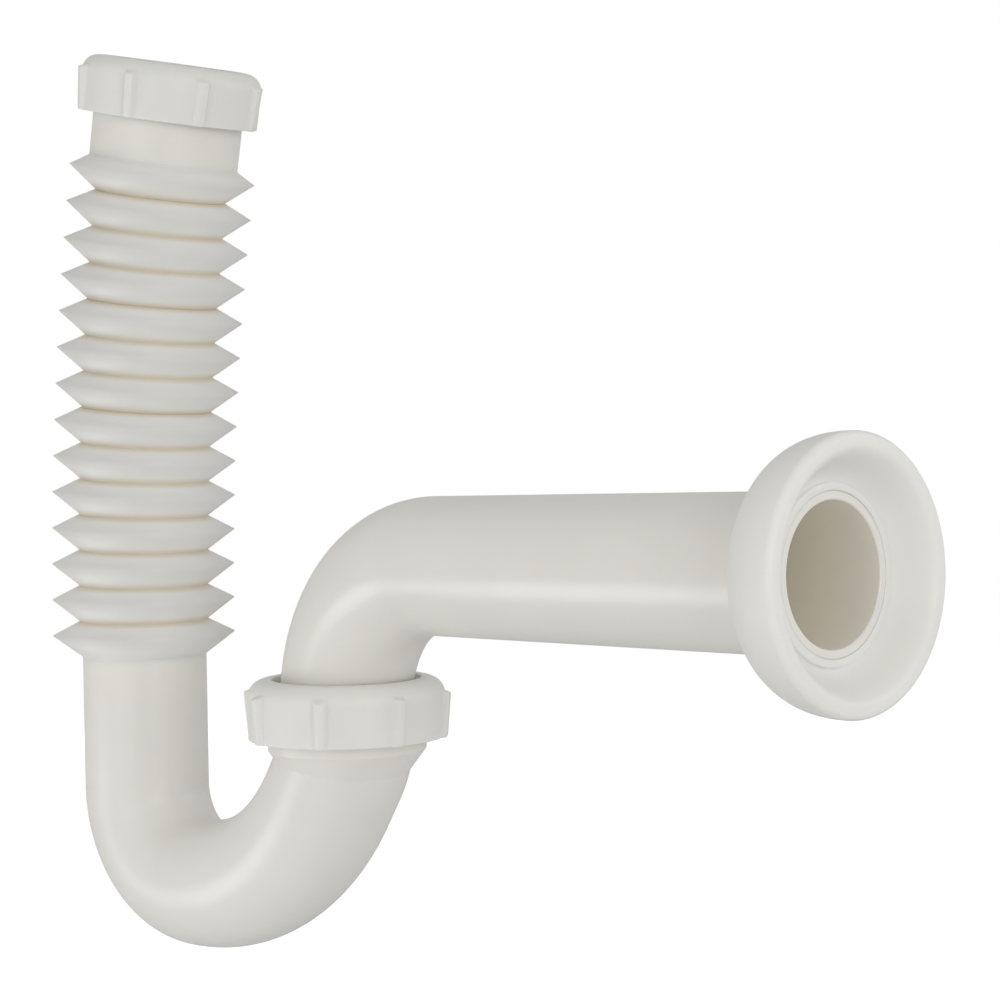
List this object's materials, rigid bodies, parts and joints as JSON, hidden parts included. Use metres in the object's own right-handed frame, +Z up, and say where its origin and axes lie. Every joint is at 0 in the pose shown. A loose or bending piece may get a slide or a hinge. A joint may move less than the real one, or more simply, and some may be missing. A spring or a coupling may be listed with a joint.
{
  "type": "adjustable sink trap",
  "caption": "Plastic sink trap with a stretching folded inlet tube, a swept bend, coupling nuts and a horizontal outlet pipe with a sliding wall flange.",
  "frame": {"origin": "centre of the outlet pipe's open end, where it enters the wall's waste pipe", "axes": "+X along the outlet pipe and out of its open end, into the wall; +Z up; the bend and the folded inlet tube stand on the -X side"},
  "size_m": [0.3216, 0.0724, 0.2907],
  "materials": {
    "ivory": "satin moulded polypropylene",
    "nut_ivory": "satin moulded polypropylene, slightly greyer",
    "flange_white": "smooth soft white plastic",
    "rubber": "soft moulded rubber",
    "ring_white": "thin smooth polyethylene"
  },
  "bodies": {
    "outlet_tube": {"outlet_elbow": "ivory"},
    "flange": {"wall_flange": "flange_white"},
    "outlet_seal": {"outlet_washer": "rubber"},
    "trap": {"trap_bend": "ivory"},
    "outlet_ring": {"outlet_slip_ring": "ring_white"},
    "outlet_nut": {"outlet_nut": "nut_ivory"},
    "folds_low": {"bellows_lower": "ivory"},
    "folds_high": {"bellows_upper": "ivory"},
    "inlet": {"inlet_neck": "ivory", "inlet_washer": "rubber"},
    "inlet_ring": {"inlet_slip_ring": "ring_white"},
    "inlet_nut": {"inlet_nut": "nut_ivory"}
  },
  "joints": [
    {"name": "flange_slide", "type": "slide", "parent": "outlet_tube", "child": "flange", "axis": [1, 0, 0], "range_m": [-0.11, 0.008]},
    {"name": "outlet_reach", "type": "slide", "parent": "outlet_tube", "child": "outlet_seal", "axis": [0.015, 0, 0.9999], "range_m": [-0.005, 0]},
    {"name": "trap_swivel", "type": "hinge", "parent": "outlet_seal", "child": "trap", "pos_m": [-0.185, 0, 0], "axis": [0.015, 0, 0.9999], "range_deg": [-120, 120]},
    {"name": "outlet_nut_rise", "type": "slide", "parent": "trap", "child": "outlet_ring", "axis": [0.015, 0, 0.9999], "range_m": [0, 0.00232]},
    {"name": "outlet_nut_turn", "type": "hinge", "parent": "outlet_ring", "child": "outlet_nut", "pos_m": [-0.18551, 0, -0.0341], "axis": [0.015, 0, 0.9999], "range_deg": [0, 360]},
    {"name": "tube_stretch", "type": "slide", "parent": "trap", "child": "folds_low", "axis": [0.015, 0, 0.9999], "range_m": [-0.033, 0.01], "deforming": ["bellows_lower"]},
    {"name": "side_bend", "type": "hinge", "parent": "folds_low", "child": "folds_high", "pos_m": [-0.27558, -0.00739, 0.06894], "axis": [0.9882, -0.0311, -0.1503], "range_deg": [-30, 30], "deforming": ["bellows_upper"]},
    {"name": "tube_lean", "type": "hinge", "parent": "folds_high", "child": "inlet", "pos_m": [-0.26944, -0.00757, 0.1034], "axis": [0.0314, 0.9995, -0.0005], "range_deg": [-30, 20]},
    {"name": "inlet_nut_rise", "type": "slide", "parent": "inlet", "child": "inlet_ring", "axis": [0.2394, -0.0071, 0.9709], "range_m": [0, 0.0104]},
    {"name": "inlet_nut_turn", "type": "hinge", "parent": "inlet_ring", "child": "inlet_nut", "pos_m": [-0.25587, -0.00797, 0.16075], "axis": [0.2394, -0.0071, 0.9709], "range_deg": [0, 1620]}
  ],
  "couplings": [
    {"joint": "outlet_nut_rise", "follows": "outlet_nut_turn", "m_per_rad": 0.00036749},
    {"joint": "inlet_nut_rise", "follows": "inlet_nut_turn", "m_per_rad": 0.00036749}
  ]
}
